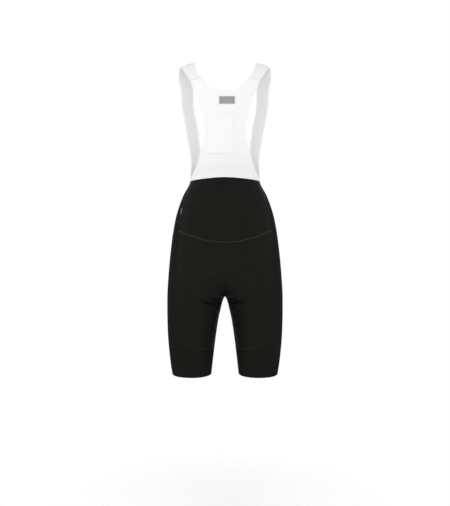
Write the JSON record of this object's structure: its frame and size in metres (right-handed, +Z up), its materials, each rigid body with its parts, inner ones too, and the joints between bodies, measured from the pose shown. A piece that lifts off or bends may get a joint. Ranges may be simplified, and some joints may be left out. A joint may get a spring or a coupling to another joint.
{
  "type": "cycling bib shorts",
  "caption": "Cycling bib shorts in their worn shape: black stretch shorts with a seat pad, a white mesh back with a stitched pocket, and wide shoulder straps.",
  "frame": {"origin": "midway between the tops of the two shoulder straps, where the wearer's shoulders hold the garment", "axes": "+Z up, -Y towards the front of the wearer, +X towards the wearer's left"},
  "size_m": [0.345, 0.2285, 0.9308],
  "materials": {
    "seat_knit": "matt black stretch knit with a soft sheen",
    "side_knit": "black stretch knit with fine cross ribs",
    "band_knit": "plain black hem band",
    "bib_mesh": "fine white warp-knit mesh",
    "pocket_mesh": "fine white mesh, doubled",
    "label_cloth": "grey woven label with plain stripes",
    "tab_cloth": "folded satin tab",
    "pad_foam": "brushed face over foam"
  },
  "bodies": {
    "root": {"back_yoke": "seat_knit", "seat_panel": "seat_knit", "leg_left": "side_knit", "leg_right": "side_knit", "leg_band_left": "band_knit", "leg_band_right": "band_knit", "seat_pad": "pad_foam", "bib_back": "bib_mesh", "strap_left": "bib_mesh", "strap_right": "bib_mesh", "back_pocket": "pocket_mesh", "back_label": "label_cloth", "side_tab": "tab_cloth"}
  },
  "joints": []
}
